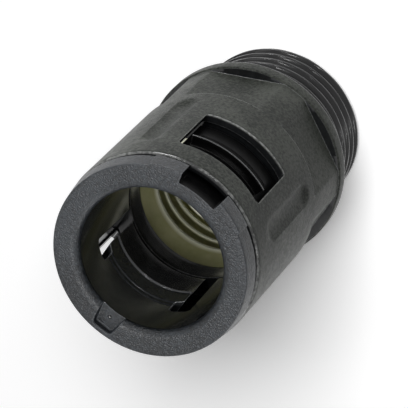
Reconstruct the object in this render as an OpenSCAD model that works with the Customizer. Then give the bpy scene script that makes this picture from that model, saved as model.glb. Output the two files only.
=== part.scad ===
// Liquidtight connector for corrugated plastic conduit, quick-fit type.
// Three pieces: a one-piece body, a locking ring that slides in it, and a profile seal.
// Z runs along the connector: z = 0 is the collar face that seats on the enclosure wall,
// the thread hangs below it and the conduit mouth is at the top. +X is the notch side.
// The ring's bore comes first, and each piece around it follows by a wall or a clearance.
// Depths are measured from the ring's mouth face, going down.

/* [Locking ring] */
// bore that takes the conduit
ring_bore_d = 16.5; // [15:0.1:18]
// wall of the ring's tube
ring_wall = 2.0; // [1.2:0.05:3]
// length of the ring from the mouth face to its rear end
ring_len = 14.6; // [13.5:0.1:18]
// size of the rounded edge from the mouth face into the bore
mouth_edge = 0.9; // [0.2:0.1:1.5]
// axial thickness of the flange
flange_t = 2.13; // [1:0.01:3]
// how far the flange's rear edge lies inside the sleeve's outside
flange_inset = 0.1; // [0.05:0.05:0.5]
// taper of the flange from its rear edge to its mouth edge
flange_draft = 0.25; // [0:0.05:0.6]
// size of the flange's rounded mouth edge
flange_edge = 0.25; // [0.05:0.05:0.5]
// how far the raised part beside the notch stands above the flange
block_raise = 0.18; // [0.05:0.01:0.4]
// half of the angle the raised part spans
block_half_angle = 32; // [20:1:60]
// half of the angle the screwdriver notch spans
notch_half_angle = 13; // [6:0.5:20]

/* [Locking ring claws] */
// half width of each claw tongue
tongue_hw = 5.2; // [4:0.1:6]
// how much narrower the tongue's neck is, on each side
neck_cut = 0.75; // [0.2:0.05:1.5]
// width of the slot beside each tongue
slot_w = 1.1; // [0.5:0.1:2]
// depth of the front end of the slots
slot_top_depth = 5.5; // [4.5:0.1:7]
// length of the neck
neck_len = 1.8; // [1:0.1:3]
// how far the claw crests stand into the bore
claw_reach = 0.8; // [0.4:0.05:1.5]
// distance from the slots' front end to where the claw's ramp begins
claw_start = 0.2; // [0:0.05:0.6]
// length of the claw's ramp
claw_ramp_len = 3.6; // [2:0.1:5]
// how far the outer hooks stand above the tube
hook_reach = 1.1; // [0.5:0.05:1.6]
// how much narrower the hook is than its tongue, on each side
hook_inset = 0.45; // [0:0.05:1.5]
// distance from the slots' front end to the hook's steep face
hook_start = 3.7; // [3:0.1:5]
// axial length of the hook with its ramp
hook_len = 2.8; // [1:0.1:4]

/* [Ring marker pocket] */
// depth of the pocket floor opposite the notch
pocket_deep = 0.87; // [0.2:0.01:1.5]
// rim left between the pocket and the flange's mouth edge
pocket_rim = 0.6; // [0.3:0.05:1.2]
// half width of the pocket at the bore
pocket_in_hw = 1.6; // [1.2:0.05:2.5]
// half width of the pocket at its outer wall
pocket_out_hw = 1.2; // [0.8:0.05:2]
// distance from the pocket's outer wall to the dimple's middle
dimple_in = 1.29; // [0.6:0.01:2]
// radius of the round dimple in the pocket
dimple_r = 0.28; // [0.1:0.01:0.5]
// depth of the round dimple
dimple_deep = 0.2; // [0.05:0.05:0.5]

/* [Sleeve] */
// radial clearance between the ring's tube and the sleeve
slide_gap = 0.35; // [0.1:0.05:0.6]
// wall of the plain sleeve
sleeve_wall = 0.9; // [0.6:0.05:2]
// gap between the ring's flange and the sleeve's front edge
ring_gap = 0.62; // [0.3:0.01:1.2]
// size of the sleeve's rounded front edge
sleeve_edge = 0.4; // [0.1:0.05:0.6]
// clearance between the ring's rear end and the ledge under it
stop_gap = 0.5; // [0.3:0.05:1]
// radial step from the ring's bore to the ledge's bore
ledge_step = 0.05; // [0:0.05:0.5]
// thickness of the ledge between ring and seal
ledge_t = 3.0; // [1.5:0.1:4]

/* [Windows] */
// clearance on each side of a tongue in its window
window_side_gap = 0.1; // [0.05:0.05:0.6]
// length of sleeve left in front of the window
window_bridge = 3.9; // [2:0.05:5]
// length of sleeve left between the window and the ledge
window_sill = 0.2; // [0.1:0.05:1]

/* [Grip recesses] */
// angle from each window's middle to the recesses beside it
recess_angle = 46; // [42:1:60]
// depth of the recess into the sleeve wall
recess_deep = 0.42; // [0.1:0.01:0.5]
// radius of the rounded groove that makes the recess
recess_r = 2.3; // [1:0.1:4]
// length of sleeve left in front of the recess
recess_bridge = 3.55; // [2:0.05:6]
// length of the recess along the axis
recess_len = 12.7; // [8:0.1:14]

/* [Seal] */
// wall between the hexagon's flats and the seal's groove
seal_side_wall = 1.1; // [0.6:0.05:2]
// gap all round the seal in its groove
seal_gap = 0.05; // [0.02:0.01:0.1]
// radial step from the ring's bore to the seal's bore
seal_step = 0.25; // [0:0.05:0.8]
// how much wider the seal's front opening is than its bore
seal_mouth_step = 0.1; // [0:0.05:0.4]
// how far the lips stand into the seal's bore
lip_reach = 0.6; // [0.2:0.05:1.2]
// length of the ramp from the seal's front edge to the first lip
seal_ramp_len = 2.85; // [1.5:0.05:4]
// spacing of the lips
lip_pitch = 2.0; // [1.6:0.1:3]
// length of the seal behind the last lip's crest
seal_tail = 1.9; // [1:0.1:3]

/* [Hexagon and collar] */
// depth of the flats below the sleeve's outside
flat_deep = 0.9; // [0.4:0.05:1.4]
// length of the flats
hex_len = 8.0; // [5:0.1:11]
// thickness of the floor between the seal and the seat face
floor_t = 3.7; // [2.5:0.1:6]
// axial thickness of the round collar
collar_t = 1.85; // [1:0.05:3]
// how far the collar stands out beyond the sleeve
collar_step = 0.2; // [0.05:0.05:2]
// size of the collar's rounded edges
collar_edge = 0.25; // [0.05:0.05:0.4]

/* [Thread] */
// major diameter of the external thread
thread_d = 19.8; // [17:0.1:22]
// pitch of the thread
thread_pitch = 1.5; // [1:0.05:1.6]
// depth of the thread form
thread_deep = 0.9; // [0.3:0.05:1.2]
// width of the flat on top of each thread
thread_flat = 0.3; // [0.1:0.05:0.6]
// width of the flat between the threads
root_flat = 0.2; // [0.05:0.05:0.4]
// number of full threads
thread_turns = 5; // [2:1:6]
// distance from the last thread's middle to the spigot's end
thread_lead = 1.3; // [1:0.05:2]
// length of plain spigot between the thread and the seat face
thread_relief = 3.5; // [2.7:0.1:5]
// how far the chamfered end lies inside the thread's crests
thread_end_step = 0.75; // [0.2:0.05:0.9]
// bore through the thread for the wires
cable_bore_d = 12.8; // [9:0.1:14]

/* [View] */
// which piece to draw

/* [Hidden] */
$fn = 96;

// radii, from the ring's bore outwards
ring_r = ring_bore_d / 2;
tube_r = ring_r + ring_wall;
claw_r = ring_r - claw_reach;
hook_r = tube_r + hook_reach;
bore_r = tube_r + slide_gap;
sleeve_r = bore_r + sleeve_wall;
flange_rear_r = sleeve_r - flange_inset;
flange_front_r = flange_rear_r - flange_draft;
block_r = flange_rear_r + block_raise;
pocket_out = flange_front_r - pocket_rim;
ledge_r = ring_r + ledge_step;
hex_ap = sleeve_r - flat_deep;
groove_r = hex_ap - seal_side_wall;
seal_r = groove_r - seal_gap;
seal_in_r = ring_r - seal_step;
seal_mouth_r = seal_in_r + seal_mouth_step;
lip_r = seal_in_r - lip_reach;
collar_r = sleeve_r + collar_step;
thread_r = thread_d / 2;
thread_root_r = thread_r - thread_deep;
thread_end_r = thread_r - thread_end_step;
cable_r = cable_bore_d / 2;

// half widths across the tongues, from the middle outwards
neck_hw = tongue_hw - neck_cut;
hook_hw = tongue_hw - hook_inset;
slot_outer = tongue_hw + slot_w;
window_hw = tongue_hw + window_side_gap;

// depths from the mouth face, going down
sleeve_top_depth = flange_t + ring_gap;
window_top_depth = sleeve_top_depth + window_bridge;
recess_top_depth = sleeve_top_depth + recess_bridge;
neck_end_depth = slot_top_depth + neck_len;
claw_top_depth = slot_top_depth + claw_start;
claw_depth = claw_top_depth + claw_ramp_len;
hook_depth = slot_top_depth + hook_start;
ledge_depth = ring_len + stop_gap;
groove_top_depth = ledge_depth + ledge_t;
lip_depth = groove_top_depth + seal_gap + seal_ramp_len;
seal_floor_depth = lip_depth + 2 * lip_pitch + seal_tail;

// heights above the seat face
mouth_z = seal_floor_depth + floor_t;
flange_z = mouth_z - flange_t;
sleeve_z = mouth_z - sleeve_top_depth;
window_top_z = mouth_z - window_top_depth;
recess_top_z = mouth_z - recess_top_depth;
ring_end_z = mouth_z - ring_len;
ledge_z = mouth_z - ledge_depth;
window_end_z = ledge_z + window_sill;
groove_top_z = mouth_z - groove_top_depth;
collar_z = collar_t;
hex_top_z = collar_z + hex_len;
thread_z = -(thread_relief + (thread_turns - 1) * thread_pitch + thread_lead);
thread_last_z = thread_z + thread_lead;
flank = (thread_pitch - thread_flat - root_flat) / 2;

// small edges and run-outs
end_edge = 0.2;       // chamfer at the spigot's end, across
end_edge_z = 0.15;    // the same along the axis
end_land = 0.2;       // plain band behind that chamfer
cable_edge = 0.4;     // chamfer of the wire bore
bore_edge = 0.25;     // chamfer of the sleeve's bore
rear_edge = 0.3;      // chamfer at the ring's rear end
bite = 0.5;           // how far a rib runs into the tube it stands on
block_draft = 0.1;    // taper of the raised part
claw_step = 0.28;     // height of the claw's ramp where the neck ends
claw_half = 0.1;      // crest in front of the claw depth
claw_back = 0.2;      // crest behind the claw depth
claw_heel = 0.75;     // rear end of the claw behind the claw depth
claw_over = 0.5;      // how far the claw rib is drawn past its tongue
hook_crest = 0.35;    // width of the hook's crest
lip_half = 0.2;       // half width of a lip's crest
lip_front = 0.75;     // front foot of a lip, from its middle
lip_back = 0.55;      // rear foot of a lip, from its middle
lip_valley = 0.15;    // how far the valleys lie outside the seal's bore
seal_edge = 0.1;      // edge of the seal's front opening
pocket_run = 1.2;     // how far the pocket's cut runs into the bore
pocket_flare = 0.1;   // widening of the pocket's cut at that end
pocket_round = 0.4;   // rounded corners of the pocket's outer wall
pocket_round_mid = 0.12;
over = 1;             // extra length so that every cut passes its face
reach = collar_r + over;  // past the outside of everything

// one thread's outline points, from its lower flank to its upper flank
function tooth(z) = [
    [thread_root_r, z - thread_flat / 2 - flank],
    [thread_r, z - thread_flat / 2],
    [thread_r, z + thread_flat / 2],
    [thread_root_r, z + thread_flat / 2 + flank]
];

// the body's outside as a turned shape, with the bore left to body_bore
module body_outside() {
    teeth = [for (i = [0:thread_turns - 1]) for (p = tooth(thread_last_z + i * thread_pitch)) p];
    rotate_extrude() polygon(concat(
        [
            [0, thread_z],
            [thread_end_r - end_edge, thread_z],
            [thread_end_r, thread_z + end_edge_z],
            [thread_end_r, thread_z + end_edge_z + end_land]
        ],
        teeth,
        [
            [thread_root_r, 0],
            [collar_r - collar_edge, 0],
            [collar_r, collar_edge],
            [collar_r, collar_z - collar_edge],
            [collar_r - collar_edge, collar_z],
            [sleeve_r, collar_z],
            [sleeve_r, sleeve_z - sleeve_edge],
            [sleeve_r - sleeve_edge * 0.3, sleeve_z - sleeve_edge * 0.3],
            [sleeve_r - sleeve_edge, sleeve_z],
            [0, sleeve_z]
        ]
    ));
}

// the stepped bore: wire passage, seal groove, ledge, ring bore
module body_bore() {
    rotate_extrude() polygon([
        [0, thread_z - over],
        [cable_r + cable_edge, thread_z - over],
        [cable_r + cable_edge, thread_z],
        [cable_r, thread_z + cable_edge],
        [cable_r, floor_t],
        [groove_r, floor_t],
        [groove_r, groove_top_z],
        [ledge_r, groove_top_z],
        [ledge_r, ledge_z],
        [bore_r, ledge_z],
        [bore_r, sleeve_z - bore_edge],
        [bore_r + bore_edge, sleeve_z],
        [bore_r + bore_edge, sleeve_z + over],
        [0, sleeve_z + over]
    ]);
}

// one long shallow groove with round ends, beside a window
module grip_recess(angle) {
    end_z = recess_r * 0.6;
    z_hi = recess_top_z - end_z;
    z_lo = recess_top_z - recess_len + end_z;
    rotate([0, 0, angle]) translate([sleeve_r + recess_r - recess_deep, 0, 0]) {
        translate([0, 0, z_lo]) cylinder(r = recess_r, h = z_hi - z_lo);
        translate([0, 0, z_lo]) sphere(r = recess_r);
        translate([0, 0, z_hi]) sphere(r = recess_r);
    }
}

module body() {
    color([0.16, 0.165, 0.17]) difference() {
        body_outside();
        for (a = [30:60:330]) rotate([0, 0, a])
            translate([hex_ap, -sleeve_r, collar_z])
                cube([reach - hex_ap, 2 * sleeve_r, hex_top_z - collar_z]);
        body_bore();
        translate([-reach, -window_hw, window_end_z])
            cube([2 * reach, 2 * window_hw, window_top_z - window_end_z]);
        for (s = [recess_angle, -recess_angle, 180 - recess_angle, 180 + recess_angle]) grip_recess(s);
    }
}

// a wedge of the given half angle about +X, tall enough for the whole flange
module wedge(half_angle) {
    translate([0, 0, flange_z - over]) linear_extrude(height = flange_t + 2 * over) polygon([
        [0, 0],
        [reach + over, -(reach + over) * tan(half_angle)],
        [reach + over, (reach + over) * tan(half_angle)]
    ]);
}

// the ring's flange, with its raised part and the screwdriver notch
module ring_flange() {
    difference() {
        union() {
            rotate_extrude() polygon([
                [tube_r - bite, flange_z],
                [flange_rear_r, flange_z],
                [flange_front_r, mouth_z - flange_edge],
                [flange_front_r - flange_edge * 0.3, mouth_z - flange_edge * 0.3],
                [flange_front_r - flange_edge, mouth_z],
                [tube_r - bite, mouth_z]
            ]);
            intersection() {
                rotate_extrude() polygon([
                    [tube_r - bite, flange_z],
                    [block_r, flange_z],
                    [block_r - block_draft, mouth_z - flange_edge * 1.4],
                    [flange_front_r - flange_edge * 0.6, mouth_z],
                    [tube_r - bite, mouth_z]
                ]);
                wedge(block_half_angle);
            }
        }
        difference() {
            wedge(notch_half_angle);
            translate([0, 0, flange_z - 2 * over]) cylinder(r = tube_r, h = flange_t + 4 * over);
        }
    }
}

// the two claws inside, as a turned rib trimmed to the tongues
module claws() {
    crest_z = mouth_z - claw_depth;
    trim = tongue_hw + claw_over;
    intersection() {
        rotate_extrude() polygon([
            [ring_r + bite, mouth_z - claw_top_depth],
            [ring_r, mouth_z - claw_top_depth],
            [ring_r - claw_step, mouth_z - neck_end_depth],
            [claw_r, crest_z + claw_half],
            [claw_r, crest_z - claw_back],
            [ring_r, crest_z - claw_heel],
            [ring_r + bite, crest_z - claw_heel]
        ]);
        translate([-reach, -trim, ring_end_z]) cube([2 * reach, 2 * trim, ring_len]);
    }
}

// the two hooks outside, as a turned rib trimmed to the windows
module hooks() {
    hook_z = mouth_z - hook_depth;
    intersection() {
        rotate_extrude() polygon([
            [tube_r - bite, hook_z - hook_len],
            [tube_r, hook_z - hook_len],
            [hook_r, hook_z - hook_crest],
            [hook_r, hook_z],
            [tube_r - bite, hook_z]
        ]);
        translate([-reach, -hook_hw, ring_end_z]) cube([2 * reach, 2 * hook_hw, ring_len]);
    }
}

// the shallow marker pocket opposite the notch, with its dimple
module marker_pocket() {
    floor_z = mouth_z - pocket_deep;
    translate([0, 0, floor_z]) linear_extrude(height = pocket_deep + over) polygon([
        [-ring_r + pocket_run, -pocket_in_hw - pocket_flare],
        [-ring_r + pocket_run, pocket_in_hw + pocket_flare],
        [-pocket_out + pocket_round, pocket_out_hw],
        [-pocket_out + pocket_round_mid, pocket_out_hw - pocket_round_mid],
        [-pocket_out, pocket_out_hw - pocket_round],
        [-pocket_out, -pocket_out_hw + pocket_round],
        [-pocket_out + pocket_round_mid, -pocket_out_hw + pocket_round_mid],
        [-pocket_out + pocket_round, -pocket_out_hw]
    ]);
    translate([-pocket_out + dimple_in, 0, floor_z - dimple_deep])
        cylinder(r = dimple_r, h = dimple_deep + over);
}

module locking_ring() {
    color([0.15, 0.155, 0.165]) difference() {
        union() {
            rotate_extrude() polygon([
                [ring_r, ring_end_z],
                [tube_r - rear_edge, ring_end_z],
                [tube_r, ring_end_z + rear_edge],
                [tube_r, mouth_z],
                [ring_r + mouth_edge, mouth_z],
                [ring_r + mouth_edge * 0.5, mouth_z - mouth_edge * 0.134],
                [ring_r + mouth_edge * 0.134, mouth_z - mouth_edge * 0.5],
                [ring_r, mouth_z - mouth_edge]
            ]);
            ring_flange();
            claws();
            hooks();
        }
        for (s = [-1, 1]) {
            y_main = s > 0 ? tongue_hw : -slot_outer;
            y_neck = s > 0 ? neck_hw : -slot_outer;
            translate([-reach, y_main, ring_end_z - over])
                cube([2 * reach, slot_w, ring_len - neck_end_depth + over]);
            translate([-reach, y_neck, mouth_z - neck_end_depth])
                cube([2 * reach, slot_w + neck_cut, neck_len]);
        }
        marker_pocket();
    }
}

// one lip's outline points, going down the seal's bore
function lip(z) = [
    [seal_in_r + lip_valley, z + lip_front],
    [lip_r, z + lip_half],
    [lip_r, z - lip_half],
    [seal_in_r + lip_valley, z - lip_back]
];

module seal() {
    top_z = groove_top_z - seal_gap;
    foot_z = floor_t + seal_gap;
    z1 = mouth_z - lip_depth;
    color([0.47, 0.46, 0.36]) rotate_extrude() polygon(concat(
        [
            [seal_r, foot_z],
            [seal_r, top_z],
            [seal_mouth_r + seal_edge, top_z],
            [seal_mouth_r, top_z - seal_edge],
            [lip_r + lip_half / 2, z1 + 2 * lip_half],
            [lip_r, z1 + lip_half * 0.75],
            [lip_r, z1 - lip_half],
            [seal_in_r + lip_valley, z1 - lip_back]
        ],
        lip(z1 - lip_pitch),
        lip(z1 - 2 * lip_pitch),
        [[seal_in_r + lip_valley, foot_z]]
    ));
}

body();
locking_ring();
seal();
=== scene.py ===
"""Liquidtight conduit connector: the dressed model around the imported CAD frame.

Sizes are in millimetres in the row frame and become metres when a mesh is made.
Each turned piece is a closed grid: a rounded profile (r, z) carried round the axis,
with its radius changed by functions of angle and height for flats, threads and ribs.
"""

import logging
from dataclasses import dataclass, field
from enum import Enum

import bmesh
import bpy
import numpy as np
from mathutils import Matrix, Vector


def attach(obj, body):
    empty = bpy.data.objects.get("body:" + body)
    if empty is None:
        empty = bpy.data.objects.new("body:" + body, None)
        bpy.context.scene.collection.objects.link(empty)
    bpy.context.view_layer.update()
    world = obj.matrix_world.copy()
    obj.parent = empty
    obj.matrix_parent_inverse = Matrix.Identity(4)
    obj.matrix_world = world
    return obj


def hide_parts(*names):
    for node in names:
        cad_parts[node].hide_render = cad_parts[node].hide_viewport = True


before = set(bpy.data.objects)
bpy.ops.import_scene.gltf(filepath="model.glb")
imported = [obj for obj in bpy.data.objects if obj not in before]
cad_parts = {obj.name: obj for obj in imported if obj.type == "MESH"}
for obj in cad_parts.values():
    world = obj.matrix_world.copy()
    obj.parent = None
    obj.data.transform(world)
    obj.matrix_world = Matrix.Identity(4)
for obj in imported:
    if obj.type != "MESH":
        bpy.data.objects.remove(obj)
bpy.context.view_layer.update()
LOG = logging.getLogger("connector")
MM = 0.001
Colour = tuple[float, float, float]


class Region(Enum):
    """Surface regions of a moulding, in the order of its material slots."""

    TEXTURED = 0
    GLOSSY = 1
    # Near-black and far darker copies of the plastic: painted shade.
    SOFT = 2
    # Much lighter finish of rounded edges: painted highlight.
    PAINTED_HIGHLIGHT = 3


# Surfaces


def smooth(x: np.ndarray) -> np.ndarray:
    """Smooth step of x from 0 to 1: 3 x squared less 2 x cubed, with x held in 0 to 1."""
    x = np.clip(x, 0.0, 1.0)
    return x * x * (3.0 - 2.0 * x)


def soft_line(x: np.ndarray, at: list[float], value: list[float], width: float) -> np.ndarray:
    """Broken line through (at, value) with its corners rounded.

    The line is averaged over five places from x - width to x + width.

    Args:
        x: where the line is read.
        at: places of its corners, rising.
        value: its height at each corner.
        width: half of the averaging length.

    Returns:
        The heights, shaped as x.
    """
    return sum(np.interp(x + k * width, at, value) for k in (-1.0, -0.5, 0.0, 0.5, 1.0)) / 5


def rounded_profile(points: list[tuple[float, float, float, float]], arc: int = 5) -> np.ndarray:
    """Closed profile with rounded corners and a limited spacing.

    Each corner P is replaced by the parabola through P - d u, P, P + d v, where u and v
    are the directions to P and from P and d is the corner's size.

    Args:
        points: (r, z, corner size, largest spacing up to this point), in order.
        arc: points on each rounded corner.

    Returns:
        The profile as an array of (r, z) rows.
    """
    pts = np.array([p[:2] for p in points])
    size = np.array([p[2] for p in points])
    step = np.array([p[3] for p in points])
    before, after = np.roll(pts, 1, 0), np.roll(pts, -1, 0)
    u = (pts - before) / np.linalg.norm(pts - before, axis=1)[:, None]
    v = (after - pts) / np.linalg.norm(after - pts, axis=1)[:, None]
    rows: list[np.ndarray] = []
    for i in range(len(pts)):
        if size[i] > 0:
            t = np.linspace(0.0, 1.0, arc)[:, None]
            a, b = pts[i] - u[i] * size[i], pts[i] + v[i] * size[i]
            corner = (1 - t) ** 2 * a + 2 * t * (1 - t) * pts[i] + t**2 * b
        else:
            corner = pts[i : i + 1]
        if rows:
            start = rows[-1][-1]
            n = int(np.ceil(np.linalg.norm(corner[0] - start) / step[i]))
            if n > 1:
                rows.append(start + (corner[0] - start) * np.linspace(0, 1, n + 1)[1:-1, None])
        rows.append(corner)
    return np.vstack(rows)


def angle_columns(count: int, keys: list[float], width: float = 0.35) -> np.ndarray:
    """Angles round the axis in radians: even ones, with two close ones at each key angle.

    Args:
        count: number of even angles.
        keys: angles in degrees where the shape has a sharp change.
        width: distance in degrees between the two angles at a key.

    Returns:
        Sorted angles in 0 to 2 pi.
    """
    even = np.arange(count) * 360.0 / count
    sharp = np.array([k + s * width / 2 for k in keys for s in (-1.0, 1.0)]) % 360.0
    if len(sharp):
        gap = np.abs((even[:, None] - sharp[None, :] + 180) % 360 - 180).min(1)
        even = even[gap > width * 0.8]
    return np.radians(np.sort(np.concatenate([even, sharp])))


def turned(profile: np.ndarray, angle: np.ndarray) -> tuple[np.ndarray, np.ndarray]:
    """Radii and heights of a profile carried round the axis, one column for each angle."""
    return np.repeat(profile[:, :1], len(angle), 1), np.repeat(profile[:, 1:], len(angle), 1)


def torus_mesh(name: str, r: np.ndarray, z: np.ndarray, angle: np.ndarray) -> bpy.types.Object:
    """Closed turned surface: x = r cos a, y = r sin a, joined both ways.

    Args:
        name: object and mesh name.
        r: radii, one row for each profile point and one column for each angle.
        z: heights, shaped as r.
        angle: the angles of the columns.

    Returns:
        The object, with its faces pointing out where the profile runs anticlockwise.
    """
    rows, cols = r.shape
    verts = np.stack([r * np.cos(angle), r * np.sin(angle), z], axis=-1).reshape(-1, 3) * MM
    i, j = np.meshgrid(np.arange(rows), np.arange(cols), indexing="ij")
    i1, j1 = (i + 1) % rows, (j + 1) % cols
    faces = np.stack([i * cols + j, i * cols + j1, i1 * cols + j1, i1 * cols + j], -1)
    return grid_object(name, verts, faces.reshape(-1, 4))


def grid_object(
    name: str,
    verts: np.ndarray,
    faces: np.ndarray,
    caps: list[np.ndarray] | None = None,
) -> bpy.types.Object:
    """Object from vertex and quad arrays, and end caps where there are some.

    Args:
        name: object and mesh name.
        verts: (n, 3) places in metres.
        faces: (m, 4) vertex numbers.
        caps: vertex numbers of each end cap, in order.

    Returns:
        The new object, linked to the scene.
    """
    mesh = bpy.data.meshes.new(name)
    polygons = faces.tolist() + [c.tolist() for c in (caps or [])]
    mesh.from_pydata(verts, [], polygons)
    mesh.validate()
    obj = bpy.data.objects.new(name, mesh)
    bpy.context.scene.collection.objects.link(obj)
    return obj


def prism_mesh(name: str, rings: np.ndarray) -> bpy.types.Object:
    """Closed tube through rings of points, with flat ends.

    Args:
        name: object name.
        rings: (rings, points, 3) places in millimetres.

    Returns:
        The object, with normals recalculated to point out.
    """
    m, n, _ = rings.shape
    i, j = np.meshgrid(np.arange(m - 1), np.arange(n), indexing="ij")
    j1 = (j + 1) % n
    faces = np.stack([i * n + j, i * n + j1, (i + 1) * n + j1, (i + 1) * n + j], -1).reshape(-1, 4)
    caps = [np.arange(n)[::-1], np.arange(n) + (m - 1) * n]
    obj = grid_object(name, rings.reshape(-1, 3) * MM, faces, caps)
    point_outwards(obj)
    return obj


def point_outwards(obj: bpy.types.Object) -> None:
    """Turn every face of a closed mesh so that its normal points out.

    Args:
        obj: the piece or cutter.
    """
    bm = bmesh.new()
    bm.from_mesh(obj.data)
    bmesh.ops.recalc_face_normals(bm, faces=bm.faces[:])
    bm.to_mesh(obj.data)
    bm.free()


def carve(obj: bpy.types.Object, cutters: list[bpy.types.Object]) -> None:
    """Cut closed meshes out of a piece, bake the result into its mesh and drop the cutters.

    Args:
        obj: the piece.
        cutters: closed meshes, removed from the file afterwards.
    """
    for cutter in cutters:
        mod = obj.modifiers.new(cutter.name, "BOOLEAN")
        mod.operation = "DIFFERENCE"
        mod.solver = "EXACT"
        mod.object = cutter
    depsgraph = bpy.context.evaluated_depsgraph_get()
    baked = bpy.data.meshes.new_from_object(obj.evaluated_get(depsgraph))
    obj.modifiers.clear()
    old = obj.data
    obj.data = baked
    baked.name = obj.name
    bpy.data.meshes.remove(old)
    for cutter in cutters:
        mesh = cutter.data
        bpy.data.objects.remove(cutter)
        bpy.data.meshes.remove(mesh)


class Faces:
    """Where a mesh's faces are and where they look, for sorting them into regions."""

    def __init__(self, mesh: bpy.types.Mesh) -> None:
        """Read the faces' centres in millimetres and their normals.

        Args:
            mesh: the mesh, with its shape finished.
        """
        count = len(mesh.polygons)
        centre, normal = np.empty(count * 3), np.empty(count * 3)
        mesh.polygons.foreach_get("center", centre)
        mesh.polygons.foreach_get("normal", normal)
        self.x, self.y, self.z = centre.reshape(-1, 3).T / MM
        n_x, n_y, self.up = normal.reshape(-1, 3).T
        self.radius = np.hypot(self.x, self.y)
        self.outward = (self.x * n_x + self.y * n_y) / np.maximum(self.radius, 1e-6)


def shade(
    obj: bpy.types.Object,
    regions: np.ndarray,
    materials: list[bpy.types.Material],
    sharp: float = 32.0,
) -> None:
    """Give a piece its materials by face and smooth shading with sharp edges kept.

    Args:
        obj: the piece.
        regions: material slot number of each face.
        materials: one material for each Region, in order.
        sharp: edges over this angle in degrees stay sharp.
    """
    mesh = obj.data
    mesh.materials.clear()
    for material in materials:
        mesh.materials.append(material)
    mesh.polygons.foreach_set("material_index", regions.astype(np.int32))
    mesh.polygons.foreach_set("use_smooth", np.ones(len(mesh.polygons), dtype=bool))
    mesh.set_sharp_from_angle(angle=np.radians(sharp))
    mesh.update()


# Finishes


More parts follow.
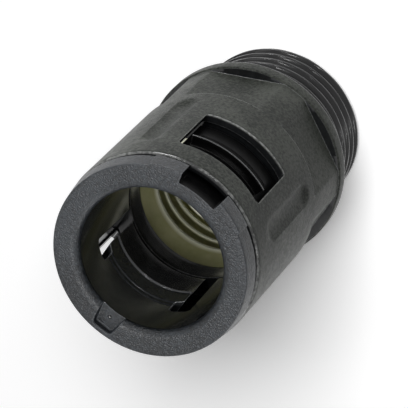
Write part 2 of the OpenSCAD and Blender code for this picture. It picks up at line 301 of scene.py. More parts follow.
class NodeBook:
    """Small helper that adds shader nodes to one material and links them."""

    def __init__(self, name: str) -> None:
        """Make the material and keep its tree, its shader and its object coordinates.

        Args:
            name: the material's name.
        """
        self.material = bpy.data.materials.new(name)
        self.material.use_nodes = True
        self.tree = self.material.node_tree
        self.shader = self.tree.nodes["Principled BSDF"]
        self.place = self.add("ShaderNodeTexCoord").outputs["Object"]

    def add(self, kind: str, **values: object) -> bpy.types.Node:
        """Add a node and set its properties and inputs.

        Args:
            kind: Blender's node type.
            values: properties by name, and inputs by name with spaces as underscores.

        Returns:
            The new node.
        """
        node = self.tree.nodes.new(kind)
        for key, value in values.items():
            if hasattr(node, key):
                setattr(node, key, value)
            else:
                node.inputs[key.replace("_", " ")].default_value = value
        return node

    def link(self, source: bpy.types.NodeSocket, target: bpy.types.NodeSocket) -> None:
        """Join an output to an input."""
        self.tree.links.new(source, target)

    def noise(self, per_mm: float, detail: float = 2.0, rough: float = 0.5) -> bpy.types.NodeSocket:
        """Noise read from object coordinates.

        Args:
            per_mm: features per millimetre.
            detail: how many finer layers it has.
            rough: how strong the finer layers are.

        Returns:
            The noise, 0 to 1.
        """
        node = self.add("ShaderNodeTexNoise", Scale=per_mm / MM, Detail=detail, Roughness=rough)
        self.link(self.place, node.inputs["Vector"])
        return node.outputs["Fac"]

    def spread(
        self,
        source: bpy.types.NodeSocket,
        low: float,
        high: float,
        start: float = 0.3,
        end: float = 0.7,
    ) -> bpy.types.NodeSocket:
        """Map a value from start..end to low..high, held at both ends.

        Args:
            source: the value.
            low: result at start and below.
            high: result at end and above.
            start: value that gives low; a noise seldom goes under 0.3.
            end: value that gives high; a noise seldom goes over 0.7.

        Returns:
            The mapped value.
        """
        node = self.add("ShaderNodeMapRange", From_Min=start, From_Max=end, To_Min=low, To_Max=high)
        self.link(source, node.inputs["Value"])
        return node.outputs["Result"]

    def blend(
        self,
        factor: bpy.types.NodeSocket,
        first: Colour | bpy.types.NodeSocket,
        second: Colour,
    ) -> bpy.types.NodeSocket:
        """Mix of a colour, fixed or from a node, towards a fixed colour.

        Args:
            factor: 0 for the first colour and 1 for the second.
            first: the first colour, or an output that gives it.
            second: the second colour.

        Returns:
            The mixed colour.
        """
        node = self.add("ShaderNodeMix", data_type="RGBA")
        self.link(factor, node.inputs["Factor"])
        if isinstance(first, tuple):
            node.inputs["A"].default_value = (*first, 1.0)
        else:
            self.link(first, node.inputs["A"])
        node.inputs["B"].default_value = (*second, 1.0)
        return node.outputs["Result"]

    def reckon(
        self,
        operation: str,
        first: bpy.types.NodeSocket,
        second: bpy.types.NodeSocket | float,
        third: bpy.types.NodeSocket | None = None,
    ) -> bpy.types.NodeSocket:
        """Result of a Math node on two or three values.

        Args:
            operation: Blender's name of the operation.
            first: first value.
            second: second value, from a node or fixed.
            third: third value, where the operation takes one.

        Returns:
            The result.
        """
        node = self.add("ShaderNodeMath", operation=operation)
        self.link(first, node.inputs[0])
        if isinstance(second, float):
            node.inputs[1].default_value = second
        else:
            self.link(second, node.inputs[1])
        if third is not None:
            self.link(third, node.inputs[2])
        return node.outputs["Value"]

    def edge_turn(self, size_mm: float) -> bpy.types.NodeSocket:
        """Cosine between the surface's normal and its rounded-edge normal.

        Args:
            size_mm: size of the rounding.

        Returns:
            The cosine, 1 away from edges and less along them.
        """
        plain = self.add("ShaderNodeNewGeometry")
        dot = self.add("ShaderNodeVectorMath", operation="DOT_PRODUCT")
        self.link(self.rounded(size_mm), dot.inputs[0])
        self.link(plain.outputs["Normal"], dot.inputs[1])
        return dot.outputs["Value"]

    def rounded(self, size_mm: float) -> bpy.types.NodeSocket:
        """Normal as if the edges were rounded to a size in millimetres."""
        return self.add("ShaderNodeBevel", samples=6, Radius=size_mm * MM).outputs["Normal"]

    def radius(self) -> bpy.types.NodeSocket:
        """Distance from the connector's axis, from object coordinates.

        Returns:
            The distance in metres.
        """
        flat = self.add("ShaderNodeVectorMath", operation="MULTIPLY")
        self.link(self.place, flat.inputs[0])
        flat.inputs[1].default_value = (1.0, 1.0, 0.0)
        length = self.add("ShaderNodeVectorMath", operation="LENGTH")
        self.link(flat.outputs["Vector"], length.inputs[0])
        return length.outputs["Value"]

    def bump(
        self,
        height: bpy.types.NodeSocket,
        strength: float,
        distance_mm: float,
        normal: bpy.types.NodeSocket | None = None,
    ) -> bpy.types.NodeSocket:
        """Bump from a height, laid over another normal where one is given.

        Args:
            height: the height, 0 to 1.
            strength: how much of the bump shows, 0 to 1.
            distance_mm: what a height of 1 stands for.
            normal: the normal under it.

        Returns:
            The new normal.
        """
        node = self.add("ShaderNodeBump", Strength=strength, Distance=distance_mm * MM)
        self.link(height, node.inputs["Height"])
        if normal is not None:
            self.link(normal, node.inputs["Normal"])
        return node.outputs["Normal"]


@dataclass(frozen=True)
class Plastic:
    """Moulded polyamide: colour, gloss, the mould's surface grain, and lighter edges that are partly
    worn and partly painted highlight.
    """

    name: str
    dark: Colour
    light: Colour
    # Lighter colour where the surface turns sharply: partly worn edges, partly painted highlight.
    edge: Colour
    rough_low: float
    rough_high: float
    grain_per_mm: float
    grain_mm: float
    edge_mm: float = 0.1
    flow_strength: float = 0.25
    specular: float = 0.5
    tone_per_mm: float = 0.16
    fleck_weight: float = 1.3
    gloss_per_mm: float = 0.9
    flow_per_mm: float = 0.22
    flow_mm: float = 0.06
    edge_colour_reach: float = 2.6
    edge_patch_per_mm: float = 2.2

    def tone(self, book: NodeBook) -> bpy.types.NodeSocket:
        """Colour between dark and light, by a broad noise with a fine fleck on it.

        Args:
            book: the material in the making.

        Returns:
            The colour.
        """
        broad = book.noise(self.tone_per_mm, 3.0)
        fleck = book.noise(self.grain_per_mm * 0.5, 1.5)
        mixed = book.reckon("MULTIPLY_ADD", fleck, self.fleck_weight, broad)
        return book.blend(book.spread(mixed, 0.0, 1.0, 0.93, 1.37), self.dark, self.light)

    def wear_and_highlight(self, book: NodeBook) -> bpy.types.NodeSocket:
        """How far the edge colour shows: partly worn edges, partly a painted highlight along them.

        Args:
            book: the material in the making.

        Returns:
            A factor, 0 away from edges and up to 1 on them, in patches.
        """
        turn = book.edge_turn(self.edge_mm * self.edge_colour_reach)
        edge_wear_and_highlight = book.spread(turn, 1.0, 0.0, 0.78, 0.98)
        patchy = book.spread(book.noise(self.edge_patch_per_mm, 3.0), 0.35, 1.0, 0.35, 0.6)
        return book.reckon("MULTIPLY", edge_wear_and_highlight, patchy)

    def make(self) -> bpy.types.Material:
        """Build the material.

        The colour drifts between dark and light and goes towards the lighter edge colour
        where the surface turns sharply, partly worn edges and partly painted highlight.
        Gloss follows a middle noise. The normal is the rounded-edge normal with flow
        waves and fine grain on it.

        Returns:
            The new material.
        """
        book = NodeBook(self.name)
        shader = book.shader.inputs
        # Edge colour laid over the tone: partly worn edges, partly painted highlight.
        book.link(book.blend(self.wear_and_highlight(book), self.tone(book), self.edge), shader["Base Color"])
        gloss = book.noise(self.gloss_per_mm, 3.0, 0.6)
        book.link(book.spread(gloss, self.rough_low, self.rough_high), shader["Roughness"])
        waves = book.noise(self.flow_per_mm, 1.5)
        flow = book.bump(waves, self.flow_strength, self.flow_mm, book.rounded(self.edge_mm))
        pits = book.noise(self.grain_per_mm, 2.0, 0.55)
        book.link(book.bump(pits, 0.9, self.grain_mm, flow), shader["Normal"])
        shader["Specular IOR Level"].default_value = self.specular
        return book.material


@dataclass(frozen=True)
class Elastomer:
    """Olive sealing rubber: satin, speckled, with a painted highlight on its lip crests."""

    name: str
    dark: Colour
    light: Colour
    crest: Colour
    crest_highlight_share: float = 0.9
    crest_r: float = 7.42
    plain_r: float = 7.62

    def make(self) -> bpy.types.Material:
        """Build the material from broad tone, fine speckle and a paler colour on the crests, a
        painted highlight.

        Returns:
            The new material.
        """
        book = NodeBook(self.name)
        shader = book.shader.inputs
        tone = book.spread(book.noise(0.35, 4.0, 0.6), 0.0, 1.0)
        colour = book.blend(tone, self.dark, self.light)
        # Paler colour towards the lip crests: painted highlight.
        pale = book.spread(book.radius(), self.crest_highlight_share, 0.0, self.crest_r * MM, self.plain_r * MM)
        book.link(book.blend(pale, colour, self.crest), shader["Base Color"])
        book.link(book.spread(book.noise(1.2, 3.0), 0.34, 0.5), shader["Roughness"])
        book.link(book.bump(book.noise(7.0, 2.0), 0.6, 0.01), shader["Normal"])
        shader["Sheen Weight"].default_value = 0.08
        return book.material


# Pieces


@dataclass
class Body:
    """The one-piece body: threaded spigot, collar, hexagon, windowed sleeve."""

    thread_end_z: float = -10.8
    thread_r: float = 9.9
    thread_root_r: float = 9.0
    thread_end_r: float = 9.15
    pitch: float = 1.5
    crest_z: float = -9.5
    ridge_half: float = 0.65
    flank: float = 0.5
    softness: float = 0.35
    relief_z: float = -2.85
    collar_r: float = 11.7
    collar_z: float = 1.85
    sleeve_r: float = 11.5
    sleeve_z: float = 27.85
    hex_ap: float = 10.6
    hex_top_z: float = 9.85
    bore_r: float = 10.6
    ledge_z: float = 15.5
    ledge_r: float = 8.3
    groove_top_z: float = 12.5
    groove_r: float = 9.5
    floor_z: float = 3.7
    cable_r: float = 6.4
    window_hw: float = 5.3
    window_top_z: float = 23.95
    window_end_z: float = 15.7
    window_corner: float = 0.35
    window_flare: float = 0.26
    front_flare_more: float = 0.24
    far_window_shift: float = 0.8
    recess_angles: tuple[float, ...] = (46.0, -46.0, 134.0, 226.0)
    recess_deep: float = 0.42
    recess_r: float = 2.3
    recess_top_z: float = 24.3
    recess_len: float = 12.7
    columns: int = 264
    profile: np.ndarray = field(init=False)

    def __post_init__(self) -> None:
        """Work out the rounded profile, anticlockwise from the spigot's end."""
        z0 = self.thread_end_z
        self.profile = rounded_profile([
            (self.cable_r + 0.4, z0, 0.06, 9.0),
            (self.thread_end_r, z0, 0.16, 9.0),
            (self.thread_end_r, z0 + 0.4, 0.0, 9.0),
            (self.thread_root_r, z0 + 0.6, 0.0, 9.0),
            (self.thread_root_r, 0.0, 0.15, 0.1),
            (self.collar_r, 0.0, 0.25, 1.0),
            (self.collar_r, self.collar_z, 0.3, 1.0),
            (self.sleeve_r, self.collar_z + 0.02, 0.02, 1.0),
            (self.sleeve_r, self.hex_top_z - 0.06, 0.0, 0.7),
            (self.sleeve_r, self.hex_top_z, 0.0, 0.7),
            (self.sleeve_r, self.sleeve_z, 0.42, 0.45),
            (self.bore_r, self.sleeve_z, 0.22, 0.5),
            (self.bore_r, self.ledge_z, 0.1, 0.8),
            (self.ledge_r, self.ledge_z, 0.05, 0.8),
            (self.ledge_r, self.groove_top_z, 0.1, 0.8),
            (self.groove_r, self.groove_top_z, 0.05, 0.8),
            (self.groove_r, self.floor_z, 0.1, 1.5),
            (self.cable_r, self.floor_z, 0.15, 0.8),
            (self.cable_r, z0 + 0.4, 0.1, 1.5),
        ])

    def thread_height(self, z: np.ndarray, angle: np.ndarray) -> np.ndarray:
        """Height of the helical thread over its root.

        d is the distance along the axis to the nearest crest of the helix
        z = crest + pitch (k + angle / 2 pi). The ridge is (half its width - d) / flank,
        held in 0 to 1, blended with a smooth step of nearly the same width. The height is
        that form times the thread's depth, faded out at the relief and held under the
        chamfer at the spigot's end.

        Args:
            z: heights.
            angle: angles, shaped to match z.

        Returns:
            The height in millimetres.
        """
        turn = (z - self.crest_z) / self.pitch - angle / (2 * np.pi)
        d = np.abs(turn - np.round(turn)) * self.pitch
        straight = np.clip((self.ridge_half - d) / self.flank, 0.0, 1.0)
        rounded = smooth((self.ridge_half + 0.02 - d) / (self.flank + 0.06))
        form = (1.0 - self.softness) * straight + self.softness * rounded
        deep = self.thread_r - self.thread_root_r
        runout = smooth((self.relief_z + 0.15 - z) / 0.7)
        chamfer = self.thread_end_r - self.thread_root_r + 1.1 * (z - self.thread_end_z - 0.15)
        return np.maximum(np.minimum(form * deep * runout, chamfer), 0.0)

    def recess_depth(self, z: np.ndarray, angle: np.ndarray) -> np.ndarray:
        """Depth of the four grip recesses under the sleeve's surface.

        Each is a cylinder of radius R parallel to the axis with round ends: its depth is
        deep less (R - sqrt(R squared - s squared)), where s joins the distance across the
        recess and the distance past its ends.

        Args:
            z: heights.
            angle: angles, shaped to match z.

        Returns:
            The depth in millimetres.
        """
        depth = np.zeros_like(z + angle)
        end = self.recess_r * 0.6
        hi, lo = self.recess_top_z - end, self.recess_top_z - self.recess_len + end
        past = np.maximum(np.maximum(z - hi, lo - z), 0.0)
        for degrees in self.recess_angles:
            across = self.sleeve_r * np.sin(angle - np.radians(degrees))
            same_side = np.cos(angle - np.radians(degrees)) > 0.5
            s2 = np.minimum(across**2 + past**2, self.recess_r**2)
            dish = self.recess_deep - (self.recess_r - np.sqrt(self.recess_r**2 - s2))
            depth = np.where(same_side, np.maximum(depth, dish), depth)
        return depth

    def flat_radius(self, angle: np.ndarray) -> np.ndarray:
        """Radius of the hexagon: half its width over the cosine to the nearest flat's middle."""
        off = angle % (np.pi / 3) - np.pi / 6
        return self.hex_ap / np.cos(off)

    def surface(self) -> bpy.types.Object:
        """Turn the profile and shape its outside by the thread, the flats and the recesses.

        Returns:
            The closed mesh before its windows are cut.
        """
        corner = float(np.degrees(np.arccos(self.hex_ap / self.sleeve_r)))
        keys = [30.0 + 60 * k + s * corner for k in range(6) for s in (-1, 1)]
        angle = angle_columns(self.columns, keys)
        r, z = turned(self.profile, angle)
        a = np.broadcast_to(angle, r.shape)
        in_thread = (np.abs(r - self.thread_root_r) < 0.01) & (z < 0)
        r = r + np.where(in_thread, self.thread_height(z, a), 0.0)
        in_hex = (z > self.collar_z + 0.01) & (z < self.hex_top_z - 0.03) & (r > self.sleeve_r - 0.5)
        soft = 0.02
        flat = self.flat_radius(a)
        both = -soft * np.logaddexp(-flat / soft, -r / soft)
        r = np.where(in_hex, np.minimum(both, r), r)
        on_sleeve = (np.abs(r - self.sleeve_r) < 0.05) & (z > self.hex_top_z)
        r = r - np.where(on_sleeve, self.recess_depth(z, a), 0.0)
        return torus_mesh("sleeve_body", r, z, angle)

    def window_path(self) -> np.ndarray:
        """Outline of a window: a rectangle with a quarter circle at each corner.

        Returns:
            The outline as (y, z) rows, anticlockwise.
        """
        w, z1, z0, c = self.window_hw, self.window_top_z, self.window_end_z, self.window_corner
        t = np.linspace(0, np.pi / 2, 5)
        centres = [(w - c, z1 - c), (-w + c, z1 - c), (-w + c, z0 + c), (w - c, z0 + c)]
        corners = []
        for quarter, middle in enumerate(centres):
            turn = t + quarter * np.pi / 2
            corners.append(np.array(middle) + c * np.stack([np.cos(turn), np.sin(turn)], -1))
        sides = []
        for k, points in enumerate((16, 8, 16, 8)):
            a, b = corners[k], corners[(k + 1) % 4]
            sides += [a, a[-1] + (b[0] - a[-1]) * np.linspace(0, 1, points)[1:-1, None]]
        return np.vstack(sides)

    def window_cutter(self, side: float) -> bpy.types.Object:
        """Rounded window cut through the sleeve, flared at the outside.

        The outline is a rectangle with small round corners. At the sleeve's surface the cut
        widens by f (1 - cos t) while it rises by f sin t, t from 0 to a quarter turn, which
        leaves a rounded edge of size f: larger at the front edge than elsewhere.

        Args:
            side: 1 for the window at +X, -1 for the one at -X.

        Returns:
            The closed cutter.
        """
        path = self.window_path()
        run = np.roll(path, -1, 0) - np.roll(path, 1, 0)
        out = np.stack([run[:, 1], -run[:, 0]], -1) / np.linalg.norm(run, axis=1)[:, None]
        at_front = smooth((path[:, 1] - (self.window_top_z - 0.5)) / 0.4)
        f = self.window_flare + self.front_flare_more * at_front
        across = np.minimum(np.abs(path[:, 0]), self.window_hw)
        surface_x = np.sqrt(self.sleeve_r**2 - across**2)
        rings = [np.column_stack([np.full(len(path), self.ledge_r + 0.3), path])]
        for s in np.linspace(0, np.pi / 2, 6):
            grow = f * (1 - np.cos(s))
            x = surface_x - f + f * np.sin(s) + np.where(s > 1.5, 0.02, 0.0)
            rings.append(np.column_stack([x, path + out * grow[:, None]]))
        last = rings[-1].copy()
        last[:, 0] = self.sleeve_r + 1.5
        rings.append(last)
        shape = np.stack(rings)
        shape[..., :2] *= side
        if side < 0:
            shape[..., 1] += self.far_window_shift
        return prism_mesh("window_cut", shape)

    def regions(self, faces: Faces) -> np.ndarray:
        """Sort the body's faces into surface regions.

        Args:
            faces: where the faces are and where they look.

        Returns:
            The region's number of each face.
        """
        region = np.full(len(faces.z), Region.GLOSSY.value)
        region[(faces.outward > 0.25) & (faces.radius > self.hex_ap - 0.6)] = Region.TEXTURED.value
        region[faces.z > self.sleeve_z - 0.25] = Region.GLOSSY.value
        # The thread and the collar's underside take a far darker copy of the body's plastic: painted
        # shade.
        region[(faces.radius > self.thread_root_r - 0.2) & (faces.z < 0.3)] = Region.SOFT.value
        # The rounded edges of the windows and of the sleeve's mouth get a much lighter finish:
        # painted highlight.
        slanted = (faces.outward > 0.5) & (faces.outward < 0.985)
        rounding = slanted & (faces.radius > self.sleeve_r - 0.3)
        beside = (np.abs(faces.y) < self.window_hw + 1.2) & (faces.outward < 0.96)
        behind_front = (faces.z > self.window_end_z - 0.4) & (faces.z < self.window_top_z - 0.3)
        at_mouth = faces.z > self.sleeve_z - 0.3
        region[rounding & ((beside & behind_front) | at_mouth)] = Region.PAINTED_HIGHLIGHT.value
        return region

    def build(
        self,
        outside: Plastic,
        inside: Plastic,
        spigot: Plastic,
        edge_wear_and_highlight: Plastic,
    ) -> bpy.types.Object:
        """Make, cut and dress the body.

        Args:
            outside: finish of the sleeve, hexagon and collar.
            inside: finish of the bore and the window walls.
            spigot: finish of the thread, far darker than the sleeve's: painted shade.
            edge_wear_and_highlight: much lighter finish of the rounded edges of the windows and the
                sleeve's mouth, a painted highlight.

        Returns:
            The finished piece, riding on the housing.
        """
        obj = self.surface()
        point_outwards(obj)
        carve(obj, [self.window_cutter(1.0), self.window_cutter(-1.0)])
        finishes = [outside.make(), inside.make(), spigot.make(), edge_wear_and_highlight.make()]
        shade(obj, self.regions(Faces(obj.data)), finishes)
        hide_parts("body")
        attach(obj, "housing")
        return obj


@dataclass
class LockingRing:
    """The locking ring: flange with notch and pocket, tube with two claw tongues."""

    mouth_z: float = 30.6
    end_z: float = 16.0
    bore_r: float = 8.25
    tube_r: float = 10.25
    mouth_edge: float = 0.95
    flange_z: float = 28.47
    flange_front_r: float = 11.15
    flange_rear_r: float = 11.4
    block_rear_r: float = 11.58
    block_front_r: float = 11.46
    block_half: float = 32.0
    notch_half: float = 13.0
    tongue_hw: float = 5.2
    neck_hw: float = 4.45
    slot_outer: float = 6.3
    slot_top_z: float = 25.1
    neck_end_z: float = 23.3
    claw_z: float = 21.3
    hook_hw: float = 4.75
    hook_r: float = 11.35
    hook_mean_r: float = 11.0
    hook_z: float = 21.4
    hook_len: float = 2.8
    claw_reach: float = 5.95
    pocket_z: float = 29.73
    pocket_out: float = 10.55
    dimple_x: float = -9.26
    dimple_r: float = 0.28
    clear_r: float = 12.5
    columns: int = 240

    def flange_profile(self, rear: float, front: float) -> np.ndarray:
        """Whole profile of the ring with a flange of given radii.

        The mouth edge is a quarter circle from the face into the bore.

        Args:
            rear: the flange's radius next to the sleeve.
            front: its radius at the mouth.

        Returns:
            The profile as (r, z) rows.
        """
        e = self.mouth_edge
        centre_r, centre_z = self.bore_r + e, self.mouth_z - e
        turn = np.linspace(0.15, np.pi / 2, 8)[:-1]
        arc = [(centre_r - e * np.sin(t), centre_z + e * np.cos(t), 0.0, 9.0) for t in turn]
        return rounded_profile([
            (self.bore_r, self.end_z, 0.06, 9.0),
            (self.tube_r, self.end_z, 0.3, 9.0),
            (self.tube_r, self.hook_z - self.hook_len - 0.1, 0.0, 9.0),
            (self.tube_r, self.hook_z + 0.2, 0.0, 0.07),
            (self.tube_r, self.flange_z, 0.15, 1.5),
            (rear, self.flange_z, 0.12, 9.0),
            (front, self.mouth_z, 0.2, 0.6),
            (centre_r, self.mouth_z, 0.0, 0.7),
            *arc,
            (self.bore_r, centre_z, 0.0, 9.0),
            (self.bore_r, self.claw_z - 1.0, 0.0, 0.055),
            (self.bore_r, self.end_z + 1.2, 0.0, 9.0),
        ], 6)

    def claw_height(self, z: np.ndarray) -> np.ndarray:
        """Rounded broken line of the claw: a back, a bead, a ramp and a low step.

        Args:
            z: heights.

        Returns:
            How far the claw stands into the bore.
        """
        bead = [self.claw_z + d for d in (-0.7, -0.16, -0.05, 0.06, 0.2, 0.3)]
        step = [self.neck_end_z + d for d in (0.02, 0.16, 0.5, 0.62)]
        stands = [0.0, 0.7, 0.8, 0.8, 0.6, 0.57, 0.3, 0.16, 0.12, 0.0]
        return soft_line(z, bead + step, stands, 0.035)

    def hook_height(self, z: np.ndarray) -> np.ndarray:
        """Rounded broken line of the hook: a long ramp, a round crest and a steep face.

        Args:
            z: heights.

        Returns:
            How far the hook stands above the tube.
        """
        h = self.hook_z
        heights = [h - self.hook_len, h - 0.5, h - 0.3, h - 0.08, h - 0.02, h + 0.06]
        return soft_line(z, heights, [0.0, 0.9, 1.08, 1.1, 0.95, 0.0], 0.035)

    def surface(self) -> bpy.types.Object:
        """Turn the profile and add the raised part, the claws and the hooks by angle.

        Returns:
            The closed mesh before its slots, notch and pocket are cut.
        """
        hook_deg = float(np.degrees(np.arcsin(self.hook_hw / self.hook_mean_r)))
        keys = [s * self.block_half for s in (1, -1)]
        keys += [middle + s * hook_deg for middle in (0, 180) for s in (1, -1)]
        angle = angle_columns(self.columns, keys, 0.4)
        plain = self.flange_profile(self.flange_rear_r, self.flange_front_r)
        raised = self.flange_profile(self.block_rear_r, self.block_front_r)
        degrees = (np.degrees(angle) + 180) % 360 - 180
        lift = np.abs(degrees) < self.block_half
        rz = np.where(lift[None, :, None], raised[:, None, :], plain[:, None, :])
        r, z = rz[..., 0], rz[..., 1]
        claw = smooth((self.claw_reach - np.abs(self.bore_r * np.sin(angle))) / 0.4)
        in_bore = np.abs(r - self.bore_r) < 0.01
        from_x = np.abs((degrees + 90) % 180 - 90)
        hook = (from_x < hook_deg).astype(float)
        on_tube = (np.abs(r - self.tube_r) < 0.01) & (z < self.flange_z - 1)
        r = r - np.where(in_bore, self.claw_height(z) * claw, 0.0)
        r = r + np.where(on_tube, self.hook_height(z) * hook, 0.0)
        return torus_mesh("clamp_ring", r, z, angle)

    def slot_cutter(self, side: float) -> bpy.types.Object:
        """L-shaped slot beside the tongues, straight through both walls along X.

        Args:
            side: 1 for the slot at +Y, -1 for the one at -Y.

        Returns:
            The closed cutter.
        """
        bevel = 0.3
        outline = np.array([
            (self.tongue_hw, self.end_z - 1),
            (self.slot_outer, self.end_z - 1),
            (self.slot_outer, self.slot_top_z - bevel),
            (self.slot_outer - bevel, self.slot_top_z),
            (self.neck_hw + bevel, self.slot_top_z),
            (self.neck_hw, self.slot_top_z - bevel),
            (self.neck_hw, self.neck_end_z),
            (self.tongue_hw, self.neck_end_z - 0.25),
        ]) * np.array([side, 1.0])
        ends = (-self.clear_r, self.clear_r)
        rings = [np.column_stack([np.full(len(outline), x), outline]) for x in ends]
        return prism_mesh("slot_cut", np.stack(rings))

    def notch_cutter(self) -> bpy.types.Object:
        """Sector of a ring, cut down to the tube for the screwdriver notch.

        Returns:
            The closed cutter.
        """
        a = np.radians(np.linspace(-self.notch_half, self.notch_half, 15))
        inner = np.column_stack([np.cos(a), np.sin(a)]) * (self.tube_r + 0.01)
        outer = np.column_stack([np.cos(a), np.sin(a)])[::-1] * (self.clear_r + 0.5)
        path = np.vstack([inner, outer])
        ends = (self.flange_z - 0.3, self.mouth_z + 1)
        rings = [np.column_stack([path, np.full(len(path), z)]) for z in ends]
        return prism_mesh("notch_cut", np.stack(rings))

    def pocket_cutters(self) -> list[bpy.types.Object]:
        """Rounded pocket open to the bore, and the round dimple in its floor.

        Returns:
            Their two closed cutters.
        """
        half, corner, inner_x, inner_half, middle_x = 1.2, 0.4, -7.05, 1.7, -8.8
        t = np.linspace(np.pi / 2, np.pi, 6)
        turn = np.column_stack([np.cos(t), np.sin(t)]) * corner
        upper = np.array([-self.pocket_out + corner, half - corner]) + turn
        inner = [(inner_x, -inner_half), (inner_x, inner_half)]
        path = np.vstack([inner, upper, (upper * [1, -1])[::-1]])
        grown = [
            (self.pocket_z, -0.12),
            (self.pocket_z + 0.12, 0.0),
            (self.mouth_z - 0.12, 0.0),
            (self.mouth_z + 0.03, 0.14),
            (self.mouth_z + 0.5, 0.14),
        ]
        middle = np.array([middle_x, 0.0])
        way = (path - middle) / np.linalg.norm(path - middle, axis=1)[:, None]
        rings = [np.column_stack([path + way * g, np.full(len(path), z)]) for z, g in grown]
        a = np.linspace(0, 2 * np.pi, 24, endpoint=False)
        dish = []
        for height, share in [(0.2, 1.0), (0.0, 1.0), (-0.14, 0.8), (-0.2, 0.45)]:
            r = self.dimple_r * share
            z = np.full(len(a), self.pocket_z + height)
            dish.append(np.column_stack([self.dimple_x + r * np.cos(a), r * np.sin(a), z]))
        return [prism_mesh("pocket_cut", np.stack(rings)), prism_mesh("dimple_cut", np.stack(dish))]

    def regions(self, faces: Faces) -> np.ndarray:
        """Sort the ring's faces into surface regions.

        Args:
            faces: where the faces are and where they look.

        Returns:
            The region's number of each face.
        """
        region = np.full(len(faces.z), Region.GLOSSY.value)
        on_rim = (faces.z > self.flange_z + 0.05) & (faces.radius > self.tube_r + 0.05)
        at_mouth = (faces.z > self.mouth_z - self.mouth_edge) & (faces.up > 0.25)
        in_pocket = (faces.x < -self.bore_r) & (np.abs(faces.y) < 1.5)
        in_pocket &= faces.z > self.pocket_z - 0.05
        region[(on_rim & (faces.outward > 0.3)) | at_mouth | in_pocket] = Region.TEXTURED.value
        # The tube, the hooks' flanks and the notch walls take a near-black finish: painted shade.
        on_tube = (faces.radius > self.tube_r - 0.05) & (faces.radius < self.hook_r - 0.14)
        region[on_tube & (faces.z < self.flange_z)] = Region.SOFT.value
        in_notch = (np.abs(faces.y) < 2.75) & (faces.x > self.tube_r - 0.4)
        in_notch &= (faces.z > self.flange_z - 0.3) & (faces.radius < self.block_front_r - 0.1)
        region[in_notch & (faces.up < 0.5)] = Region.SOFT.value
        return region

    def build(self, face: Plastic, inside: Plastic, tube_shade: Plastic) -> bpy.types.Object:
        """Make, cut and dress the ring.

        Args:
            face: finish of the flange and the mouth face.
            inside: finish of the bore, the claws and the hooks' crests.
            tube_shade: near-black finish of the tube, the notch walls and the hooks' flanks: painted
                shade.

        Returns:
            The finished piece, riding on the ring body.
        """
        obj = self.surface()
        point_outwards(obj)
        slots = [self.slot_cutter(1.0), self.slot_cutter(-1.0)]
        carve(obj, [*slots, self.notch_cutter(), *self.pocket_cutters()])
        finishes = [face.make(), inside.make(), tube_shade.make()]
        shade(obj, self.regions(Faces(obj.data)), finishes)
        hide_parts("locking_ring")
        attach(obj, "ring")
        return obj


@dataclass
class ProfileSeal:
    """The elastomer seal: a front ramp and three lips in a turned sleeve."""

    foot_z: float = 3.75
    top_z: float = 12.45
    outer_r: float = 9.45
    mouth_r: float = 8.32
    lip_r: float = 7.4
    valley_r: float = 7.9
    foot_r: float = 6.5
    first_lip_z: float = 9.6
    lip_pitch: float = 2.0
    lips: int = 3
    columns: int = 160

    def build(self, rubber: Elastomer) -> bpy.types.Object:
        """Turn the lipped profile, anticlockwise from the foot, and dress it.

        Args:
            rubber: the seal's finish.

        Returns:
            The finished piece, riding on the housing.
        """
        corners = [
            (self.foot_r, self.foot_z, 0.05, 2.0),
            (self.outer_r, self.foot_z, 0.1, 2.0),
            (self.outer_r, self.top_z, 0.1, 2.0),
            (self.mouth_r, self.top_z, 0.14, 0.4),
        ]
        for k in range(self.lips):
            z = self.first_lip_z - k * self.lip_pitch
            if k:
                corners.append((self.valley_r, z + 0.78, 0.1, 0.4))
            corners += [
                (self.lip_r, z + 0.2, 0.1, 0.35),
                (self.lip_r, z - 0.2, 0.1, 0.35),
                (self.valley_r, z - 0.55, 0.1, 0.35),
            ]
        corners += [
            (self.valley_r, self.foot_z + 0.7, 0.12, 0.6),
            (self.foot_r, self.foot_z + 0.55, 0.12, 0.6),
        ]
        profile = rounded_profile(corners)
        angle = angle_columns(self.columns, [])
        obj = torus_mesh("profile_seal", *turned(profile, angle), angle)
        point_outwards(obj)
        shade(obj, np.zeros(len(obj.data.polygons)), [rubber.make()], 50.0)
        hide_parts("seal")
        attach(obj, "housing")
        return obj


# Studio


def split_rays(
    tree: bpy.types.NodeTree,
    lighting: bpy.types.NodeSocket,
    seen: bpy.types.NodeSocket,
    surface: bpy.types.NodeSocket,
) -> None:
    """Give camera, glossy and transmission rays one shader and the other rays another.

    Args:
        tree: the node tree.
        lighting: the shader for rays that light things.
        seen: the shader for rays that look.
        surface: the input that takes the result.
    """
    path = tree.nodes.new("ShaderNodeLightPath")
    factor = path.outputs["Is Camera Ray"]
    for kind in ("Is Glossy Ray", "Is Transmission Ray"):
        larger = tree.nodes.new("ShaderNodeMath")
        larger.operation = "MAXIMUM"
        tree.links.new(factor, larger.inputs[0])
        tree.links.new(path.outputs[kind], larger.inputs[1])
        factor = larger.outputs["Value"]
    mix = tree.nodes.new("ShaderNodeMixShader")
    for source, target in zip((factor, lighting, seen), mix.inputs):
        tree.links.new(source, target)
    tree.links.new(mix.outputs[0], surface)


class Lit(Enum):
    """What a lamp may light, by the name of its collection."""

    FLOOR = "lit_floor"
    PIECES = "lit_pieces"
    INSIDE = "lit_inside"
    OUTSIDE = "lit_outside"


@dataclass(frozen=True)
class Lamp:
    """Square area lamp: its place in millimetres along camera right, up and back, and power."""

    name: str
    place: tuple[float, float, float]
    size: float
    watts: float
    lit: Lit = Lit.PIECES


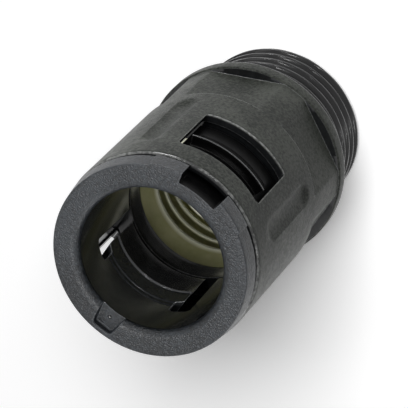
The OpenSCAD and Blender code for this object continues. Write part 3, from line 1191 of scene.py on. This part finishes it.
LAMPS = (
    Lamp("floor_lamp", (-90.0, 80.0, 690.0), 300.0, 5.2, Lit.FLOOR),
    Lamp("key", (-258.0, 236.0, 258.0), 150.0, 0.08),
    Lamp("upper", (-75.0, 390.0, 110.0), 120.0, 1.8),
    Lamp("low", (60.0, -405.0, 30.0), 170.0, 0.52),
    Lamp("front", (-154.0, -161.0, 368.0), 110.0, 1.2, Lit.INSIDE),
    Lamp("thread_glint", (193.0, -236.0, 301.0), 40.0, 0.13, Lit.OUTSIDE),
    Lamp("edge_glint", (84.0, 196.0, 384.0), 36.0, 0.18),
    Lamp("rim_glint", (-140.0, 165.0, 375.0), 30.0, 0.16),
)


@dataclass
class Studio:
    """Pale floor, soft lamps and the camera at the photograph's angle."""

    floor_z: float = -10.82
    floor_half: float = 1500.0
    camera_place: tuple[float, float, float] = (193.845, -23.083, 336.646)
    camera_right: tuple[float, float, float] = (0.50256, -0.78675, -0.35842)
    camera_up: tuple[float, float, float] = (0.69498, 0.61423, -0.37379)
    camera_back: tuple[float, float, float] = (0.51423, -0.06124, 0.85546)
    focal: float = 300.0
    sensor: float = 36.0
    aim_z: float = 15.0
    floor_glow: float = 0.23
    bounce: float = 0.16
    sky: float = 0.03

    def floor_material(self) -> bpy.types.Material:
        """Pale floor that the camera sees with its shadow, and that throws back little light.

        The camera, reflections and glass see a pale matt surface with a faint glow added,
        which makes the lit floor white. Other rays see a darker matt one.

        Returns:
            The material.
        """
        book = NodeBook("pale_floor")
        shader = book.shader.inputs
        tone = book.spread(book.noise(0.01, 2.0), 0.0, 1.0)
        book.link(book.blend(tone, (0.95, 0.95, 0.955), (0.98, 0.98, 0.98)), shader["Base Color"])
        shader["Roughness"].default_value = 0.7
        shader["Specular IOR Level"].default_value = 0.1
        white = (1.0, 1.0, 1.0, 1.0)
        glow = book.add("ShaderNodeEmission", Color=white, Strength=self.floor_glow)
        seen = book.add("ShaderNodeAddShader")
        book.link(book.shader.outputs["BSDF"], seen.inputs[0])
        book.link(glow.outputs["Emission"], seen.inputs[1])
        grey = (self.bounce, self.bounce, self.bounce, 1.0)
        matt = book.add("ShaderNodeBsdfDiffuse", Color=grey)
        surface = book.tree.nodes["Material Output"].inputs["Surface"]
        split_rays(book.tree, matt.outputs["BSDF"], seen.outputs["Shader"], surface)
        return book.material

    def floor(self) -> bpy.types.Object:
        """Flat floor under the spigot.

        Returns:
            The floor, linked to the scene and attached to no body.
        """
        s = self.floor_half
        corners = np.array([(-s, -s), (s, -s), (s, s), (-s, s)])
        verts = np.column_stack([corners, np.full(4, self.floor_z)]) * MM
        obj = grid_object("floor", verts, np.array([[0, 1, 2, 3]]))
        obj.data.materials.append(self.floor_material())
        return obj

    def world(self) -> None:
        """Faint surroundings for the light, white where the camera and reflections look."""
        world = bpy.data.worlds.new("studio")
        bpy.context.scene.world = world
        world.use_nodes = True
        tree = world.node_tree
        background = tree.nodes["Background"]
        background.inputs["Color"].default_value = (0.97, 0.985, 1.0, 1.0)
        background.inputs["Strength"].default_value = self.sky
        seen = tree.nodes.new("ShaderNodeBackground")
        seen.inputs["Color"].default_value = (1.0, 1.0, 1.0, 1.0)
        surface = tree.nodes["World Output"].inputs["Surface"]
        split_rays(tree, background.outputs[0], seen.outputs[0], surface)

    def lamp(self, lamp: Lamp, receivers: bpy.types.Collection) -> None:
        """Place a lamp that looks at the connector's middle.

        Args:
            lamp: its name, place, size and power.
            receivers: the objects that it lights.
        """
        axes = [Vector(v) for v in (self.camera_right, self.camera_up, self.camera_back)]
        aim = Vector((0.0, 0.0, self.aim_z)) * MM
        away = sum((axis * step for axis, step in zip(axes, lamp.place)), Vector()) * MM
        light = bpy.data.lights.new(lamp.name, "AREA")
        light.size = lamp.size * MM
        light.energy = lamp.watts
        obj = bpy.data.objects.new(lamp.name, light)
        obj.location = aim + away
        obj.rotation_euler = away.to_track_quat("Z", "Y").to_euler()
        bpy.context.scene.collection.objects.link(obj)
        obj.light_linking.receiver_collection = receivers

    def camera(self) -> None:
        """Camera placed by its own axes, as found from the photograph's rims."""
        data = bpy.data.cameras.new("camera")
        data.sensor_width = self.sensor
        data.lens = self.focal
        data.clip_start = 0.01
        obj = bpy.data.objects.new("camera", data)
        axes = Matrix((self.camera_right, self.camera_up, self.camera_back)).transposed().to_4x4()
        obj.matrix_world = Matrix.Translation(Vector(self.camera_place) * MM) @ axes
        bpy.context.scene.collection.objects.link(obj)
        bpy.context.scene.camera = obj

    def build(self, dressed: list[bpy.types.Object]) -> None:
        """Set up the whole studio.

        One lamp lights the floor and throws the connector's shadow there. The others
        light the pieces alone, some of them only the body or only the ring and the seal.

        Args:
            dressed: the connector's pieces: body, ring and seal.
        """
        bpy.context.scene.view_settings.view_transform = "Standard"
        members = {
            Lit.FLOOR: [self.floor()],
            Lit.PIECES: dressed,
            Lit.INSIDE: dressed[1:],
            Lit.OUTSIDE: dressed[:1],
        }
        groups: dict[Lit, bpy.types.Collection] = {}
        for lit, objects in members.items():
            groups[lit] = bpy.data.collections.new(lit.value)
            for obj in objects:
                groups[lit].objects.link(obj)
        self.world()
        for lamp in LAMPS:
            self.lamp(lamp, groups[lamp.lit])
        self.camera()


# The connector's own finishes and its build

SLEEVE = Plastic(
    "sleeve_plastic",
    dark=(0.0225, 0.025, 0.022),
    light=(0.072, 0.077, 0.0675),
    edge=(0.38, 0.39, 0.37),
    rough_low=0.32,
    rough_high=0.44,
    grain_per_mm=6.0,
    grain_mm=0.05,
    specular=0.08,
)
POLISHED = Plastic(
    "polished_plastic",
    dark=(0.015, 0.0163, 0.0175),
    light=(0.024, 0.0258, 0.0276),
    edge=(0.24, 0.25, 0.26),
    rough_low=0.14,
    rough_high=0.22,
    grain_per_mm=3.0,
    grain_mm=0.0015,
    flow_strength=0.15,
)
# Near-black copy of the ring's plastic for the tube and the notch: painted shade.
TUBE_SHADE_PAINT = Plastic(
    "tube_painted_shade_plastic",
    dark=(0.0012, 0.0012, 0.0013),
    light=(0.0022, 0.0022, 0.0023),
    edge=(0.05, 0.05, 0.05),
    rough_low=0.3,
    rough_high=0.4,
    grain_per_mm=3.0,
    grain_mm=0.002,
    specular=0.06,
)
# A far darker copy of the body's plastic for the thread: painted shade.
SHADED_THREAD = Plastic(
    "thread_painted_shade_plastic",
    dark=(0.0025, 0.0027, 0.003),
    light=(0.005, 0.0054, 0.006),
    edge=(0.02, 0.021, 0.023),
    rough_low=0.14,
    rough_high=0.22,
    grain_per_mm=5.0,
    grain_mm=0.003,
    specular=0.35,
)
# Much lighter finish for the rounded window and mouth edges: painted highlight.
EDGE_HIGHLIGHT_PAINT = Plastic(
    "painted_edge_highlight_plastic",
    dark=(0.04, 0.042, 0.04),
    light=(0.28, 0.288, 0.28),
    edge=(0.46, 0.47, 0.46),
    rough_low=0.12,
    rough_high=0.22,
    grain_per_mm=4.0,
    grain_mm=0.01,
)
RING_FACE = Plastic(
    "ring_face_plastic",
    dark=(0.005, 0.0062, 0.0078),
    light=(0.025, 0.0295, 0.035),
    edge=(0.12, 0.13, 0.142),
    rough_low=0.28,
    rough_high=0.4,
    grain_per_mm=5.5,
    grain_mm=0.095,
    flow_strength=0.1,
    specular=0.4,
)
# The third colour is the near-white of the lip crests: painted highlight.
RUBBER = Elastomer("seal_rubber", (0.34, 0.34, 0.16), (0.48, 0.47, 0.26), (1.0, 1.0, 0.85))


def main() -> None:
    """Build the connector's pieces in order, then the studio."""
    logging.basicConfig(level=logging.INFO, format="%(message)s")
    dressed = [
        Body().build(SLEEVE, POLISHED, SHADED_THREAD, EDGE_HIGHLIGHT_PAINT),
        LockingRing().build(RING_FACE, POLISHED, TUBE_SHADE_PAINT),
        ProfileSeal().build(RUBBER),
    ]
    for piece in dressed:
        LOG.info("%s: %d faces", piece.name, len(piece.data.polygons))
    Studio().build(dressed)


if __name__ == "__main__":
    main()
